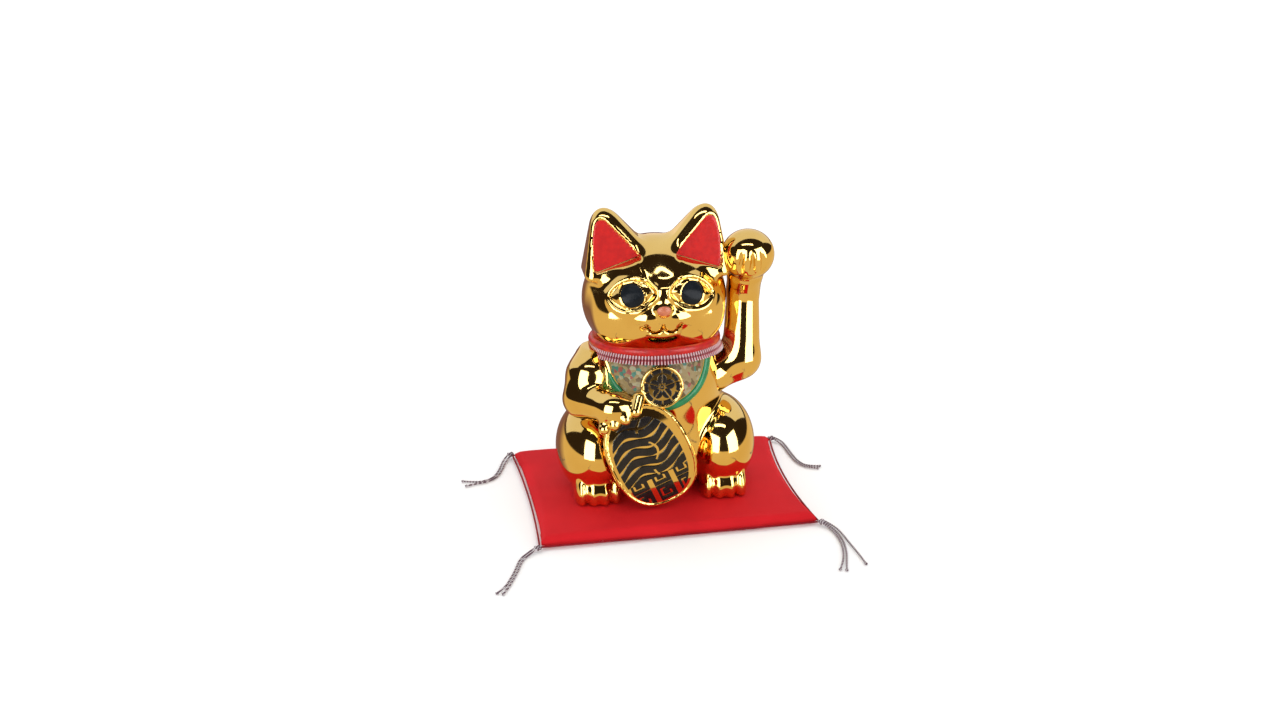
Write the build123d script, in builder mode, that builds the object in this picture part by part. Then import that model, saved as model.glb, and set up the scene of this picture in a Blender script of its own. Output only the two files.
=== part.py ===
from build123d import *
from math import asin, copysign, cos, pi, radians, sin, tan
import os

# A beckoning cat figurine on its tasselled cushion, in millimetres.
# Origin: centre of the cushion's underside. +Z is up, the cat faces -Y, and +X is the
# viewer's right. The figure is modelled about its own axis, standing on z = 0 of the
# seat plane, which lies on top of the cushion.

# ---- driving dimensions -------------------------------------------------------------
SEAT_X, SEAT_Y = -4.8, 6.0          # where the figure's axis stands on the cushion
FACING = -1.7                       # degrees that the figure is turned about its axis
CUSHION_T = 9.0                     # thickness of the flat cushion
SEAT_GAP = 0.3                      # clearance that keeps the two bodies apart
COVER_T = 0.8                       # cotton cover
PIPING_R = 1.0                      # seam piping
CUSHION_CORNERS = [(-109.5, -86), (109.5, -80), (108.5, 81), (-109.5, 86)]
SIDE_BOWS = [0.8, -6.0, 2.0, -3.0]  # how far each side bows out: front, right, back, left
SEAM_Z = 2.4                        # height of the seam's centre
SHOULDER_R = 5.0                    # rounding of the cushion's top edge
CORNER_R = 2.5                      # rounding of the cushion's corners
KNOT_R = 2.8                        # tassel knot at each corner
KNOT_OUT = 1.2                      # knot centre, outwards from the corner in X and in Y

WALL = 5.0                          # slip-cast ceramic wall
DRAIN_R = 10.0                      # drain hole in the base
RIND = 1.0                          # thickness of the painted enamel layers
BIB_T = 2.0                         # bib relief on the chest
COIN_W, COIN_L, COIN_T = 65.0, 85.0, 5.0
COIN_POWER = 2.4                    # superellipse exponent of the coin's outline
COIN_RIM_W, COIN_RIM_H = 3.0, 1.4
COIN_TILT, COIN_LEAN = 24.0, 2.0    # degrees: turn in its own plane, and lean backwards
MEDAL_R, MEDAL_T = 16.5, 3.0
CORD_D = 1.4                        # one strand of a tassel
TIP_R = 1.3                         # knot at the end of each strand
RIB_COUNT, RIB_TOP, RIB_PITCH, RIB_W = 8, 24.0, 8.0, 4.6
RIB_REACH = 24.0                    # half the length of the widest rib of the coin's relief
RELIEF_H = 0.9                      # height of the black relief on the coin and medallion
BIB_BORDER_W = 6.0
BIB_TOP_Z, BIB_LOW_Z = 117.0, 79.0
COLLAR_RX, COLLAR_RY = 51.5, 48.0   # reach of the collar's band
COLLAR_Z = 118.3
COLLAR_RISE = 2.0                   # degrees that the collar rises towards the front
EYE_X, EYE_Z, EYE_R = 22.7, 169.5, 8.5
SKULL, SKULL_R = (0, 3, 154.3), (56.8, 46, 49.5)
MUZZLE, MUZZLE_R = (12, -36, 152), (14, 12, 10)
NOSE_GAP = 0.02                     # paint of the nose stands off the glaze by this much
CHEST, CHEST_R = (0, -6, 93.5), (47, 44, 37)
# centre and radii of the ellipsoids that hollow the figure, joined to one another
CAVITIES = [
    ((0, 6, 61), (50, 43, 55)),
    ((0, 2, 122), (38, 34, 26)),
    ((0, 3, 155), (51, 41, 43)),
    ((0, 10, 38), (53, 43, 32)),
    ((-47, -5, 35), (25, 38, 29.5)),
    ((47, -5, 35), (25, 38, 29.5)),
]

os.makedirs("parts", exist_ok=True)

seat = Plane((SEAT_X, SEAT_Y, CUSHION_T + SEAT_GAP))


def on_seat(x, y, z):
    """A point of the figure, in the object's frame."""
    return seat.from_local_coords(Vector(x, y, z))


def ellipsoid(centre, radii):
    """A closed ellipsoid, with its centre given in the figure's frame."""
    rx, ry, rz = radii
    with BuildPart(mode=Mode.PRIVATE) as ball:
        Sphere(ry)
        scale(by=(rx / ry, 1, rz / ry))
    return Location(on_seat(*centre)) * ball.part


def limb(start, end, r_start, r_end):
    """A tapered limb with a ball at each end, its side tangent to both balls."""
    a, b = on_seat(*start), on_seat(*end)
    length = (b - a).length
    slope = asin((r_start - r_end) / length)
    low = (r_start * sin(slope), r_start * cos(slope))
    high = (length + r_end * sin(slope), r_end * cos(slope))
    half = (pi / 2 + slope) / 2
    low_mid = (-r_start * cos(half), r_start * sin(half))
    half = (pi / 2 - slope) / 2
    high_mid = (length + r_end * cos(half), r_end * sin(half))
    along = b - a
    side = along.cross(Vector(0.3, 1, 0.2))
    with BuildPart(mode=Mode.PRIVATE) as bone:
        with BuildSketch(Plane(a, x_dir=along, z_dir=side)):
            with BuildLine():
                ThreePointArc((-r_start, 0), low_mid, low)
                Line(low, high)
                ThreePointArc(high, high_mid, (length + r_end, 0))
                Line((length + r_end, 0), (-r_start, 0))
            make_face()
        revolve(axis=Axis(a, along))
    return bone.part


def export(piece, label):
    """Name a finished piece and write it to its own file."""
    piece.label = label
    export_step(piece, f"parts/{label}.step")


def export_figure(piece, label):
    """Write a piece of the figure, turned with the figure about its axis."""
    export(piece.rotate(Axis((SEAT_X, SEAT_Y, 0), (0, 0, 1)), FACING), label)


# ---- body shapes that the pieces share ----------------------------------------------
torso = ellipsoid((0, 6, 59), (55, 49, 69))
pelvis = ellipsoid((0, 12, 36), (59, 49, 42))
chest = ellipsoid(CHEST, CHEST_R)
neck = ellipsoid((0, 2, 117), (48, 44, 24))
skull = ellipsoid(SKULL, SKULL_R)
haunches = [ellipsoid((side * 49.3, -5, 34.5), (29.5, 43, 37)) for side in (-1, 1)]
feet = [ellipsoid((x, -27, 10), (18.5, 23, 14)) for x in (-49, 50)]
muzzle = [ellipsoid((side * MUZZLE[0], *MUZZLE[1:]), MUZZLE_R) for side in (-1, 1)]
chin = ellipsoid((0, -35, 138), (12, 10, 8))
upper_arm = limb((-51, -11, 106), (-59.5, -24, 84.5), 16, 14)
lower_arm = limb((-59.5, -24, 84.5), (-37, -51, 83), 14, 13.5)
tail = limb((20, 58, 14), (-14, 62, 22), 9, 7)

# ---- ears: rounded blades, leaning out from the crown --------------------------------
EAR_OUTLINE = [(54, 181), (45, 236), (8, 196), (24, 175)]
EAR_HALF_T = 9.0
EAR_TIP_R = 8.0
EAR_EDGE_Z = 188.0                  # the rounded edges of the blades begin above this height
LINING_OUTLINE = [(49, 183), (44, 222), (15, 192)]


def ear_plane(y):
    return Plane(on_seat(0, y, 0), x_dir=(1, 0, 0), z_dir=(0, -1, 0))


def ear(side):
    with BuildPart(mode=Mode.PRIVATE) as blade:
        with BuildSketch(ear_plane(1)) as outline:
            with BuildLine():
                Polyline(*[(side * x, z) for x, z in EAR_OUTLINE], close=True)
            make_face()
            fillet(outline.vertices().sort_by(Axis.Y)[-1], radius=EAR_TIP_R)
        extrude(amount=EAR_HALF_T, both=True)
        front_and_back = blade.faces().filter_by(Axis.Y)
        tops = [e for e in front_and_back.edges() if e.center().Z > on_seat(0, 0, EAR_EDGE_Z).Z]
        fillet(tops, radius=4)
    return blade.part


def ear_lining(side):
    with BuildPart(mode=Mode.PRIVATE) as enamel:
        with BuildSketch(ear_plane(1 - EAR_HALF_T)) as outline:
            with BuildLine():
                Polyline(*[(side * x, z) for x, z in LINING_OUTLINE], close=True)
            make_face()
            fillet(outline.vertices(), radius=6)
        extrude(amount=RIND)
        add(skull, mode=Mode.SUBTRACT)
    return enamel.part


# ---- the planes of the coin and the medallion ----------------------------------------
COIN_CENTRE = (-11.4, -56.0, 46.5)
MEDAL_CENTRE = (-2.0, -49.5, 99.8)
lean = radians(COIN_LEAN)
coin_normal = (0, -cos(lean), sin(lean))
coin_up = (-sin(radians(COIN_TILT)), cos(radians(COIN_TILT)) * sin(lean),
           cos(radians(COIN_TILT)) * cos(lean))
coin_side = Vector(*coin_up).cross(Vector(*coin_normal))
coin_back = Plane(on_seat(*COIN_CENTRE), x_dir=coin_side, z_dir=coin_normal)
medal_back = Plane(on_seat(*MEDAL_CENTRE), x_dir=(1, 0, 0), z_dir=(0, -1, 0.2))

# ---- figure_shell: the slip-cast ceramic body, hollow, with its drain hole -----------
with BuildPart() as figure_solid:
    add(torso)
    for lump in [pelvis, chest, neck, skull, chin, tail, upper_arm, lower_arm]:
        add(lump)
    for lump in haunches + feet + muzzle:
        add(lump)
    for side in (-1, 1):
        add(ear(side))
    # the boss that carries the coin in front of the belly
    with BuildSketch(coin_back):
        Ellipse(22, 32)
    extrude(amount=-26)
    # the flat base that stands on the cushion
    split(bisect_by=seat, keep=Keep.TOP)

with BuildPart() as figure_shell:
    add(figure_solid.part)
    for centre, radii in CAVITIES:
        add(ellipsoid(centre, radii), mode=Mode.SUBTRACT)
    with Locations(on_seat(0, 0, 0)):
        Cylinder(DRAIN_R, 4 * WALL, mode=Mode.SUBTRACT)
export_figure(figure_shell.part, "figure_shell")

# ---- raised_arm: cast apart and luted to the shoulder, its paw curled forwards --------
with BuildPart() as raised_arm:
    add(limb((44, -8, 90), (67.5, 0, 101), 14, 14.5))
    add(limb((67.5, 0, 101), (71, 0, 161), 14.5, 12.3))
    add(ellipsoid((71.5, -9, 188), (20.5, 20, 19.5)))
    add(limb((71, 0, 156), (71.5, -4, 180), 12.3, 14))
    add(figure_solid.part, mode=Mode.SUBTRACT)
export_figure(raised_arm.part, "raised_arm")


# ---- koban_coin: a rounded oval of gold leaning on the belly, with a raised rim -------
def superellipse(width, length, points=20):
    """Closed outline |x/a|^n + |y/b|^n = 1 of the coin."""
    corners = []
    for i in range(points):
        c, s = cos(2 * pi * i / points), sin(2 * pi * i / points)
        x = width / 2 * abs(c) ** (2 / COIN_POWER)
        y = length / 2 * abs(s) ** (2 / COIN_POWER)
        corners.append((x if c > 0 else -x, y if s > 0 else -y))
    return Spline(*corners, periodic=True)


with BuildPart() as koban_coin:
    with BuildSketch(coin_back):
        with BuildLine():
            superellipse(COIN_W, COIN_L)
        make_face()
    extrude(amount=COIN_T)
    with BuildSketch(coin_back.offset(COIN_T)):
        with BuildLine():
            superellipse(COIN_W, COIN_L)
        make_face()
        with BuildLine():
            superellipse(COIN_W - 2 * COIN_RIM_W, COIN_L - 2 * COIN_RIM_W)
        make_face(mode=Mode.SUBTRACT)
    extrude(amount=COIN_RIM_H)
    add(figure_solid.part, mode=Mode.SUBTRACT)
export_figure(koban_coin.part, "koban_coin")

# ---- koban_relief: a stream of wavy ribs with two plum blossoms -----------------------
with BuildPart() as koban_relief:
    with BuildSketch(coin_back.offset(COIN_T)):
        for row in range(RIB_COUNT):
            y = RIB_TOP - row * RIB_PITCH
            reach = RIB_REACH * (1 - abs(y / (COIN_L / 2)) ** COIN_POWER) ** (1 / COIN_POWER)
            with BuildLine(mode=Mode.PRIVATE) as wave:
                Spline((-reach, y - 2), (-reach / 2, y + 2), (0, y), (reach / 2, y - 2), (reach, y + 2))
            trace(lines=wave.line, line_width=RIB_W)
    extrude(amount=RELIEF_H)
    add(koban_coin.part, mode=Mode.SUBTRACT)
export_figure(koban_relief.part, "koban_relief")

# ---- medallion: a disc with a rim and a five-petalled plum blossom --------------------
with BuildPart() as medallion_disc:
    with BuildSketch(medal_back):
        Circle(MEDAL_R)
    extrude(amount=MEDAL_T)
    with BuildSketch(medal_back.offset(MEDAL_T)):
        Circle(MEDAL_R)
        Circle(MEDAL_R - 2, mode=Mode.SUBTRACT)
    extrude(amount=1.0)
    add(koban_coin.part, mode=Mode.SUBTRACT)
export_figure(medallion_disc.part, "medallion_disc")

with BuildPart() as medallion_relief:
    with BuildSketch(medal_back.offset(MEDAL_T)):
        Circle(2.2)
        with PolarLocations(7.2, 5, start_angle=90):
            Circle(3.6)
    extrude(amount=RELIEF_H)
export_figure(medallion_relief.part, "medallion_relief")

# ---- bib: a raised brocade panel with its border, over the chest ----------------------
bib_plane = Plane(on_seat(0, -100, 0), x_dir=(1, 0, 0), z_dir=(0, -1, 0))


def bib_piece(outline):
    """The part of a layer on the chest that lies inside an outline seen from the front."""
    with BuildPart(mode=Mode.PRIVATE) as layer:
        add(ellipsoid(CHEST, [r + BIB_T for r in CHEST_R]))
        with BuildSketch(bib_plane):
            add(outline)
        extrude(amount=-90, mode=Mode.INTERSECT)
        add(figure_solid.part, mode=Mode.SUBTRACT)
        add(medallion_disc.part, mode=Mode.SUBTRACT)
        add(koban_coin.part, mode=Mode.SUBTRACT)
    return layer.part


with BuildSketch(mode=Mode.PRIVATE) as bib_whole:
    with BuildLine():
        ThreePointArc((-47, BIB_TOP_Z), (0, BIB_LOW_Z), (41, BIB_TOP_Z))
        Line((41, BIB_TOP_Z), (-47, BIB_TOP_Z))
    make_face()
with BuildSketch(mode=Mode.PRIVATE) as bib_inner:
    add(bib_whole.sketch)
    offset(amount=-BIB_BORDER_W)

with BuildPart() as bib_panel:
    add(bib_piece(bib_inner.sketch))
with BuildPart() as bib_border:
    add(bib_piece(bib_whole.sketch))
    add(bib_panel.part, mode=Mode.SUBTRACT)
    add(bib_piece(bib_inner.sketch), mode=Mode.SUBTRACT)

# ---- collar: a padded band round the neck, with a pleated frill below it --------------
rise = radians(COLLAR_RISE)
collar_plane = Plane(on_seat(0, 0, COLLAR_Z), x_dir=(1, 0, 0), z_dir=(0, sin(rise), cos(rise)))


def collar_ring(reach, low, high):
    """A ring that stands out from the neck, between two heights in the collar's plane."""
    with BuildPart(mode=Mode.PRIVATE) as ring:
        with BuildSketch(collar_plane.offset(low)):
            Ellipse(COLLAR_RX + reach, COLLAR_RY + reach)
        extrude(amount=high - low)
        fillet(ring.edges().filter_by(GeomType.ELLIPSE), radius=1.2)
        add(figure_solid.part, mode=Mode.SUBTRACT)
        for piece in (raised_arm, bib_panel, bib_border, medallion_disc):
            add(piece.part, mode=Mode.SUBTRACT)
    return ring.part


with BuildPart() as collar_band:
    add(collar_ring(0, 0, 6.5))
with BuildPart() as collar_frill:
    add(collar_ring(2, -6.5, 0))
export_figure(collar_band.part, "collar_band")
export_figure(collar_frill.part, "collar_frill")
export_figure(bib_panel.part, "bib_panel")
export_figure(bib_border.part, "bib_border")


# ---- painted enamel: eyes, nose and ear linings ---------------------------------------
def eye(side):
    """A thin glossy disc of enamel, following the curve of the face."""
    with BuildPart(mode=Mode.PRIVATE) as disc:
        add(ellipsoid(SKULL, [r + RIND for r in SKULL_R]))
        with BuildSketch(bib_plane):
            with Locations((side * EYE_X, EYE_Z)):
                Circle(EYE_R)
        extrude(amount=-90, mode=Mode.INTERSECT)
        add(figure_solid.part, mode=Mode.SUBTRACT)
    return disc.part


for name, side in (("left", -1), ("right", 1)):
    export_figure(eye(side), f"{name}_eye")
    export_figure(ear_lining(side), f"{name}_ear_lining")

with BuildPart() as nose:
    add(limb((-2, -44.6, 159.3), (2, -44.6, 159.3), 4.3, 4.2))
    add(ellipsoid(SKULL, [r + NOSE_GAP for r in SKULL_R]), mode=Mode.SUBTRACT)
    for side in (-1, 1):
        add(ellipsoid((side * MUZZLE[0], *MUZZLE[1:]), [r + NOSE_GAP for r in MUZZLE_R]), mode=Mode.SUBTRACT)
export_figure(nose.part, "nose")


# ---- cushion: two cotton covers sewn along a piped seam over a thin wadding -----------
def cushion_face(height, inset):
    """A face of the cushion's outline, its four slightly bowed sides drawn in by an inset."""
    corners = [Vector(*c) for c in CUSHION_CORNERS]
    with BuildSketch(Plane.XY.offset(height), mode=Mode.PRIVATE) as outline:
        with BuildLine():
            for i, bow in enumerate(SIDE_BOWS):
                a, b = corners[i], corners[(i + 1) % 4]
                outwards = (b - a).cross(Vector(0, 0, 1)).normalized()
                ThreePointArc(a, (a + b) / 2 + outwards * bow, b)
        make_face()
        offset(amount=-inset, kind=Kind.INTERSECTION)
        fillet(outline.vertices(), radius=CORNER_R)
    return outline.sketch


with BuildPart() as seam_piping:
    seam = cushion_face(SEAM_Z, PIPING_R).faces()[0].outer_wire()
    with BuildSketch(Plane(seam @ 0, z_dir=seam % 0)):
        Circle(PIPING_R)
    sweep(path=seam)
export(seam_piping.part, "seam_piping")

with BuildPart() as cushion_wadding:
    add(cushion_face(COVER_T, 2 * PIPING_R + COVER_T))
    extrude(amount=CUSHION_T - 2 * COVER_T)
    fillet(cushion_wadding.faces().sort_by(Axis.Z)[-1].edges(), radius=SHOULDER_R - COVER_T)
export(cushion_wadding.part, "cushion_wadding")

with BuildPart() as cushion_cover_bottom:
    add(cushion_face(0, PIPING_R))
    extrude(amount=COVER_T)
export(cushion_cover_bottom.part, "cushion_cover_bottom")

with BuildPart() as cushion_cover_top:
    add(cushion_face(COVER_T, PIPING_R))
    extrude(amount=CUSHION_T - COVER_T)
    fillet(cushion_cover_top.faces().sort_by(Axis.Z)[-1].edges(), radius=SHOULDER_R)
    add(cushion_wadding.part, mode=Mode.SUBTRACT)
    add(seam_piping.part, mode=Mode.SUBTRACT)
export(cushion_cover_top.part, "cushion_cover_top")

# ---- tassels: a knot at each corner and loose strands that lie on the table -----------
CORNER_NAMES = ["front_left", "front_right", "back_right", "back_left"]
for name, (x, y) in zip(CORNER_NAMES, CUSHION_CORNERS):
    with BuildPart() as knot:
        with Locations((x + copysign(KNOT_OUT, x), y + copysign(KNOT_OUT, y), KNOT_R)):
            Sphere(KNOT_R)
    export(knot.part, f"corner_knot_{name}")

LIE = CORD_D / 2 + 0.05             # height of a strand's centre where it lies down
STRANDS = {
    "cord_front_left_1": [
        (-112.8, -87.6, 3), (-119, -90.8, 1.2), (-126.6, -100.6, LIE),
        (-131.5, -116.6, LIE), (-137.4, -131.5, LIE), (-142.6, -143.4, LIE),
        (-149, -150.2, LIE),
    ],
    "cord_front_left_2": [
        (-111.6, -89.4, 2.6), (-117.4, -92.6, 1), (-124.6, -101.6, LIE),
        (-129.4, -117.4, LIE), (-135.3, -132.4, LIE), (-140.4, -144.6, LIE),
        (-144.6, -152.2, LIE),
    ],
    "cord_front_right_1": [
        (112.6, -82.8, 2.8), (117.2, -88.2, 1.1), (119.6, -100.5, LIE),
        (119.6, -117, LIE), (116.7, -133.5, LIE), (112.8, -147, LIE),
        (109.6, -159.5, LIE),
    ],
    "cord_front_right_2": [
        (111.4, -83.6, 2.5), (115.2, -89.2, 1), (117.4, -100.7, LIE),
        (117.3, -116.8, LIE), (114.5, -132.8, LIE), (110.2, -146.3, LIE),
        (105.2, -157.5, LIE),
    ],
    "cord_front_right_3": [
        (113.6, -81.2, 3), (119.4, -87.2, 1.2), (122.2, -99.8, LIE),
        (123.4, -116.5, LIE), (125.4, -134.6, LIE), (126.4, -152, LIE),
    ],
    "cord_back_right_1": [
        (112.3, 83, 3), (117.8, 80.2, 1.2), (119.6, 68.2, LIE),
        (120.2, 52.2, LIE), (122, 36, LIE), (127, 26, LIE),
        (137, 24.6, LIE),
    ],
    "cord_back_right_2": [
        (111.3, 81.2, 2.6), (115.4, 78.2, 1), (117.4, 67.2, LIE),
        (118, 51.8, LIE), (119.8, 35.2, LIE), (125.2, 23.8, LIE),
        (134.5, 20.7, LIE),
    ],
    "cord_back_left_1": [
        (-113, 87, 3), (-118, 79.4, 1.2), (-122, 66.3, LIE),
        (-127.6, 51.2, LIE), (-135.5, 43.6, LIE), (-144.5, 42, LIE),
        (-154.5, 46, LIE),
    ],
    "cord_back_left_2": [
        (-111, 85.6, 2.6), (-115.8, 78.3, 1), (-119.8, 65.2, LIE),
        (-125.5, 50, LIE), (-134.6, 41.4, LIE), (-143.6, 39.7, LIE),
        (-152.5, 36.5, LIE),
    ],
}


def cord_path_radii(route):
    """Radius of the arc at each inner point: as large as its two runs allow."""
    points = [Vector(*p) for p in route]
    radii = []
    for a, b, c in zip(points, points[1:], points[2:]):
        turn = radians((b - a).get_angle(c - b))
        radii.append(0.45 * min((b - a).length, (c - b).length) / tan(turn / 2))
    return radii


for name, route in STRANDS.items():
    radii = cord_path_radii(route)
    with BuildPart() as cord:
        with BuildLine() as path:
            FilletPolyline(*route, radius=radii)
        with BuildSketch(Plane(path.line @ 0, z_dir=path.line % 0)):
            Circle(CORD_D / 2)
        sweep(path=path.line)
    ratio = cord.part.volume / (pi * CORD_D ** 2 / 4 * path.wire().length)
    print(name, f"length {path.wire().length:.1f}, volume ratio {ratio:.4f}, arc radii",
          [round(r, 1) for r in radii])
    export(cord.part, name)

with BuildPart() as tip_knots:
    for route in STRANDS.values():
        x, y, _ = route[-1]
        with Locations((x, y, TIP_R)):
            Sphere(TIP_R)
export(tip_knots.part, "tip_knots")
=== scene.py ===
"""Beckoning cat figurine: the looks of the gold-plated cat, its enamels, coin, collar and cushion.

The cat is modelled as a smooth implicit surface in millimetres, in the figure's own frame: its
axis is x = y = 0, it stands on z = 0 and faces -Y. place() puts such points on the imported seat.
"""
import math
import bpy
import numpy as np
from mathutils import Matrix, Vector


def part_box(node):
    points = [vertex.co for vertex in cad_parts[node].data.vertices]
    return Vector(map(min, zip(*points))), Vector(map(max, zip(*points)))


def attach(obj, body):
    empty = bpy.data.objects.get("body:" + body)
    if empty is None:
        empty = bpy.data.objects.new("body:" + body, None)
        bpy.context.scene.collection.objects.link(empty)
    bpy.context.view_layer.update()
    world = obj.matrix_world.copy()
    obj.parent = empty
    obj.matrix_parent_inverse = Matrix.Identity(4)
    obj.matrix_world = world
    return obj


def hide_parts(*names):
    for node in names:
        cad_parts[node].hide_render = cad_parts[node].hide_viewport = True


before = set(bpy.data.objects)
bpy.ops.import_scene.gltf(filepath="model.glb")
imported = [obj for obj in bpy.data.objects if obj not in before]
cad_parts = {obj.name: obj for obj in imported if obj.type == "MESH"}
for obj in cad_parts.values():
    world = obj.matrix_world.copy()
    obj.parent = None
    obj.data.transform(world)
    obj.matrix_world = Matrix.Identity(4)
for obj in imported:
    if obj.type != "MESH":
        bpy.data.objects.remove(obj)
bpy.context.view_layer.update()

import openvdb
from mathutils import Vector

MM = 0.001

# ---- places read from the frame ---------------------------------------------------------
LINING_Y = -8.5                     # depth of the ear linings in the figure's frame, in mm


def centre_of(node_name):
    low, high = (np.array(corner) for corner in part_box(node_name))
    return (low + high) / 2


left_lining, right_lining = centre_of("left_ear_lining"), centre_of("right_ear_lining")
facing = math.atan2(right_lining[1] - left_lining[1], right_lining[0] - left_lining[0])
TURN = np.array([[math.cos(facing), -math.sin(facing), 0],
                 [math.sin(facing), math.cos(facing), 0],
                 [0, 0, 1]])
SEAT = (left_lining + right_lining) / 2 - TURN @ np.array([0, LINING_Y * MM, 0])
SEAT[2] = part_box("figure_shell")[0][2]


def place(points):
    """Points of the figure, in millimetres, in the object's frame in metres."""
    return (np.asarray(points, float) * MM) @ TURN.T + SEAT


# ---- implicit shapes ----------------------------------------------------------------------
# Each takes points as three arrays that broadcast together, and gives a signed distance.
def smooth_min(a, b, k):
    """Union of two shapes with a fillet about k across."""
    h = np.clip(0.5 + 0.5 * (b - a) / k, 0, 1)
    return b + (a - b) * h - k * h * (1 - h)


def smooth_max(a, b, k):
    """Intersection of two shapes with a fillet about k across."""
    return -smooth_min(-a, -b, k)


def round_max(a, b, r):
    """Intersection of two shapes with an edge of radius r."""
    out = np.sqrt(np.maximum(a + r, 0) ** 2 + np.maximum(b + r, 0) ** 2)
    return out - r + np.minimum(np.maximum(a + r, b + r), 0)


def ellipsoid(p, centre, radii):
    q = [(p[i] - centre[i]) / radii[i] for i in range(3)]
    near = np.sqrt(q[0] ** 2 + q[1] ** 2 + q[2] ** 2)
    slope = np.sqrt((q[0] / radii[0]) ** 2 + (q[1] / radii[1]) ** 2 + (q[2] / radii[2]) ** 2)
    return near * (near - 1) / np.maximum(slope, 1e-6)


def limb(p, start, end, r_start, r_end):
    """A tapered capsule."""
    axis = [end[i] - start[i] for i in range(3)]
    d = [p[i] - start[i] for i in range(3)]
    square = sum(a * a for a in axis)
    h = np.clip((d[0] * axis[0] + d[1] * axis[1] + d[2] * axis[2]) / square, 0, 1)
    away = np.sqrt(sum((d[i] - axis[i] * h) ** 2 for i in range(3)))
    return away - (r_start + (r_end - r_start) * h)


def bell(d, width):
    return np.exp(-(d / width) ** 2)


def step(d, low, high):
    t = np.clip((d - low) / (high - low), 0, 1)
    return t * t * (3 - 2 * t)


# ---- the head ------------------------------------------------------------------------------
EYE = (22.7, 174.2)                 # centre of an eye, seen from the front
EYE_R = 9.1
SKULL = ((0, 3, 159), (56.2, 46, 49.5))
NECK_R = (48, 44, 24)
EAR_ROOT = 180.0                    # height where the blades of the ears begin inside the crown
HEAD_SINK = 4.7                     # how far the head, with all its numbers above, is sunk on the neck


def ear_outline(u, v):
    """Signed distance from the rounded triangle of an ear, seen from the front, u outwards."""
    outer = (u - 53.4) * 0.985 + (v - 200) * 0.170
    inner = -(u - 10.3) * 0.735 + (v - 206.8) * 0.678
    return round_max(outer, inner, 21)


def ear_lining_outline(u, v):
    """The lined hollow of an ear: inside the outline by a thin rim outside and a thick one inside."""
    outer = u - 50.0 + 0.006 * (v - 202) ** 2
    inner = -(u - 12.4) * 0.713 + (v - 198.0) * 0.700
    bottom = -(v - 187.5) * 0.954 - (u - 46) * 0.298
    return round_max(round_max(outer, inner, 10), bottom, 3)


def ear_front(v):
    """Depth of the ear's front face at a height: it leans back towards the tip."""
    return -7 - (224 - v) * 0.36


def ear(p):
    u, y, v = p
    back = 10 + (224 - v) * 0.10
    front = ear_front(v)
    slab = np.abs(y - (front + back) / 2) - (back - front) / 2
    return round_max(round_max(ear_outline(u, v), slab, 7), EAR_ROOT - v, 5)


def ear_hollow(p):
    u, y, v = p
    floor = ear_front(v) + 2.6
    return round_max(ear_lining_outline(u, v), y - floor, 1.5)


def almond(u, v):
    """Signed distance from the almond of an eye about its centre, u outwards; its outer corner droops."""
    v = v + 0.17 * u
    upper = np.sqrt(u ** 2 + (v + 9.2) ** 2) - 19.4
    lower = np.sqrt(u ** 2 + (v - 10.2) ** 2) - 19.4
    return round_max(upper, lower, 1.0)


def face_relief(u, v):
    """Height of the modelling of the face above the plain head, u outwards from the nose."""
    e, w = u - EYE[0], v - EYE[1]
    lid = almond(e, w)
    height = 1.2 * bell(lid - 2.4, 2.2)                      # rim of the lids
    height = height - 0.9 * bell(lid + 0.2, 1.3)             # groove along the lids
    height = height + 1.6 * step(-lid, 0.5, 8.0)             # the domed eyeball
    pupil = np.sqrt(e ** 2 + w ** 2)
    height = height + 0.45 * bell(pupil - EYE_R - 0.7, 0.6)  # ring around the black of the eye
    brow = np.sqrt(((e + 1.5) / 15) ** 2 + ((w - 15.0 + 0.012 * e ** 2) / 5.5) ** 2)
    height = height + 1.3 * bell(brow, 1.2)                  # lump of the brow
    inner_brow = np.sqrt(((u - 8.8 - 0.22 * (v - 186)) / 3.6) ** 2 + ((v - 184) / 8.5) ** 2)
    height = height + 0.9 * bell(inner_brow, 1.3)            # lump beside the bridge of the nose
    crease = np.sqrt(((u - 13.6 - 0.42 * (v - 188)) / 1.7) ** 2 + ((v - 189) / 7.5) ** 2)
    height = height - 1.1 * bell(crease, 1.1)                # crease between the two lumps
    return height


def head(p):
    """The head with its face and ears, and the neck that goes down into the collar."""
    x, y, z = p[0], p[1], p[2] + HEAD_SINK
    p = [x, y, z]
    u = np.abs(x)
    m = [u, y, z]
    f = ellipsoid(p, *SKULL)
    f = smooth_min(f, limb(p, (0, -39.5, 177), (0, -43.5, 167), 3.4, 3.6), 9)    # bridge of the nose
    f = smooth_min(f, ellipsoid(m, (25, -21, 153), (25, 20, 26)), 10)             # cheeks
    f = smooth_min(f, ellipsoid(m, (9.5, -39, 156.5), (11.5, 8.5, 7.5)), 6)      # snout
    f = smooth_min(f, ellipsoid(p, (0, -45.2, 164.3), (6.6, 4.6, 4.8)), 2.5)     # nose
    f = smooth_min(f, ellipsoid(p, (0, -38, 145.5), (12, 8, 6)), 6)              # chin
    f = f - face_relief(u, z) * step(-y, 8, 26)
    # the mouth: a short line down from the nose that parts into two curves
    line = limb(p, (0, -50.5, 160), (0, -49.5, 152.5), 0.7, 0.7)
    arc = np.abs(np.sqrt((u - 6.6) ** 2 + (z - 153) ** 2) - 6.6)
    arc = np.where(z < 153, arc, np.sqrt((u - 13.2) ** 2 + (z - 153) ** 2)) - 0.8
    mouth = np.minimum(line, np.maximum(arc, y + 36))
    f = smooth_max(f, -mouth, 1.4)
    f = smooth_min(f, ear(m), 6)
    f = smooth_min(f, ellipsoid(p, (0, 2, 121.7), NECK_R), 8)
    return smooth_max(f, -ear_hollow(m), 1.4)


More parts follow.
